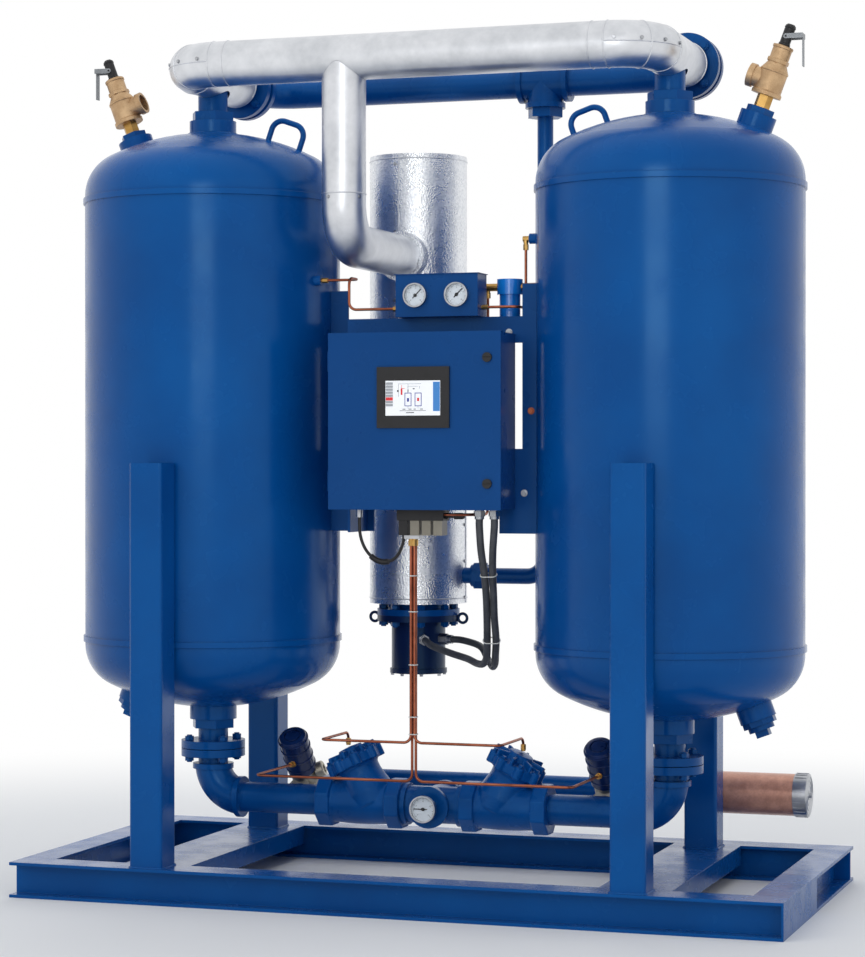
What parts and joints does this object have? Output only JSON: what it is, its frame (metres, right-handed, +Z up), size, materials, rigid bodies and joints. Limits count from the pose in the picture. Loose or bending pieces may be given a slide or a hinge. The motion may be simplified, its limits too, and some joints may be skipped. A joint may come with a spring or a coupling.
{
  "type": "desiccant air dryer",
  "caption": "Heated twin-tower desiccant air dryer on a beam skid, with switching valves, lagged regeneration pipework, an electric heater and a control enclosure.",
  "frame": {"origin": "centre of the skid's footprint, on the floor", "axes": "+X along the skid to the right tower, +Y to the back, +Z up"},
  "size_m": [2.25, 1.128, 2.5002],
  "materials": {
    "blue_paint": "gloss",
    "pipe_steel": "mill",
    "plain_jacket": "satin",
    "stucco_jacket": "stucco embossed",
    "housing_paint": "satin",
    "desiccant": "granular",
    "bright_metal": "satin",
    "black_plastic": "moulded",
    "control_gear": "moulded",
    "gauge_case": "polished",
    "pointer_black": "satin",
    "filter_blue": "satin",
    "copper": "drawn tube",
    "conduit_skin": "ribbed",
    "cable_rubber": "smooth",
    "valve_steel": "cast",
    "muffler_bronze": "aged",
    "bronze": "cast"
  },
  "bodies": {
    "root": {"front_rail": "blue_paint", "rear_rail": "blue_paint", "end_rails": "blue_paint", "cross_members": "blue_paint", "front_legs": "blue_paint", "rear_legs": "blue_paint", "left_tower": "blue_paint", "right_tower": "blue_paint", "desiccant_beds": "desiccant", "bed_screens": "pipe_steel", "port_plugs": "blue_paint", "regen_pipework": "pipe_steel", "header_lagging": "plain_jacket", "elbow_laggings": "plain_jacket", "drop_lagging": "plain_jacket", "left_check_valve": "blue_paint", "right_check_valve": "blue_paint", "outlet_header": "blue_paint", "purge_line": "blue_paint", "heater_vessel": "pipe_steel", "heater_lagging": "stucco_jacket", "heater_elements": "pipe_steel", "terminal_housing": "housing_paint", "enclosure_bracket": "blue_paint", "enclosure_box": "blue_paint", "control_plate": "control_gear", "gauge_panel": "blue_paint", "pressure_gauges": "gauge_case", "inlet_gauge": "gauge_case", "pilot_filter": "filter_blue", "solenoid_manifold": "black_plastic", "pilot_tubes": "copper", "conduit_fittings": "bright_metal", "left_conduit": "conduit_skin", "right_conduit": "conduit_skin", "solenoid_cable": "cable_rubber", "left_inlet_piping": "blue_paint", "right_inlet_piping": "blue_paint", "inlet_tee": "blue_paint", "left_inlet_valve": "blue_paint", "right_inlet_valve": "blue_paint", "left_exhaust_valve": "valve_steel", "right_exhaust_valve": "valve_steel", "exhaust_manifold": "blue_paint", "muffler": "muffler_bronze", "relief_valves": "bronze", "flange_bolts": "bright_metal"},
    "door": {"enclosure_door": "blue_paint", "operator_panel": "black_plastic"},
    "upper_latch": {"upper_latch": "bright_metal"},
    "lower_latch": {"lower_latch": "bright_metal"},
    "left_gauge_pointer": {"left_gauge_pointer": "pointer_black"},
    "right_gauge_pointer": {"right_gauge_pointer": "pointer_black"},
    "inlet_gauge_pointer": {"inlet_gauge_pointer": "pointer_black"},
    "left_relief_lever": {"left_relief_lever": "bright_metal"},
    "right_relief_lever": {"right_relief_lever": "bright_metal"},
    "left_inlet_plug": {"left_inlet_plug": "bright_metal"},
    "right_inlet_plug": {"right_inlet_plug": "bright_metal"},
    "left_exhaust_plug": {"left_exhaust_plug": "bright_metal"},
    "right_exhaust_plug": {"right_exhaust_plug": "bright_metal"}
  },
  "joints": [
    {"name": "door_hinge", "type": "hinge", "parent": "root", "child": "door", "pos_m": [-0.223, -0.328, 1.368], "axis": [0, 0, -1], "range_deg": [0, 120]},
    {"name": "upper_latch_turn", "type": "hinge", "parent": "door", "child": "upper_latch", "pos_m": [0.255, -0.35, 1.544], "axis": [0, -1, 0], "range_deg": [0, 90]},
    {"name": "lower_latch_turn", "type": "hinge", "parent": "door", "child": "lower_latch", "pos_m": [0.255, -0.35, 1.192], "axis": [0, -1, 0], "range_deg": [0, 90]},
    {"name": "left_gauge_needle", "type": "hinge", "parent": "root", "child": "left_gauge_pointer", "pos_m": [0.0145, -0.26, 1.726], "axis": [0, 1, 0], "range_deg": [-180, 90]},
    {"name": "right_gauge_needle", "type": "hinge", "parent": "root", "child": "right_gauge_pointer", "pos_m": [0.1375, -0.26, 1.726], "axis": [0, 1, 0], "range_deg": [-180, 90]},
    {"name": "inlet_gauge_needle", "type": "hinge", "parent": "root", "child": "inlet_gauge_pointer", "pos_m": [0, -0.149, 0.252], "axis": [0, 1, 0], "range_deg": [-45, 225]},
    {"name": "left_relief_lift", "type": "hinge", "parent": "root", "child": "left_relief_lever", "pos_m": [-1.03673, -0.045, 2.43979], "axis": [0, 1, 0], "range_deg": [0, 30]},
    {"name": "right_relief_lift", "type": "hinge", "parent": "root", "child": "right_relief_lever", "pos_m": [1.03673, -0.045, 2.43979], "axis": [0, -1, 0], "range_deg": [0, 30]},
    {"name": "left_inlet_stroke", "type": "slide", "parent": "root", "child": "left_inlet_plug", "axis": [-0.4384, 0, 0.8988], "range_m": [0, 0.028]},
    {"name": "right_inlet_stroke", "type": "slide", "parent": "root", "child": "right_inlet_plug", "axis": [0.4384, 0, 0.8988], "range_m": [0, 0.028]},
    {"name": "left_exhaust_stroke", "type": "slide", "parent": "root", "child": "left_exhaust_plug", "axis": [0, -0.6157, 0.788], "range_m": [0, 0.02]},
    {"name": "right_exhaust_stroke", "type": "slide", "parent": "root", "child": "right_exhaust_plug", "axis": [0, -0.6157, 0.788], "range_m": [0, 0.02]}
  ]
}
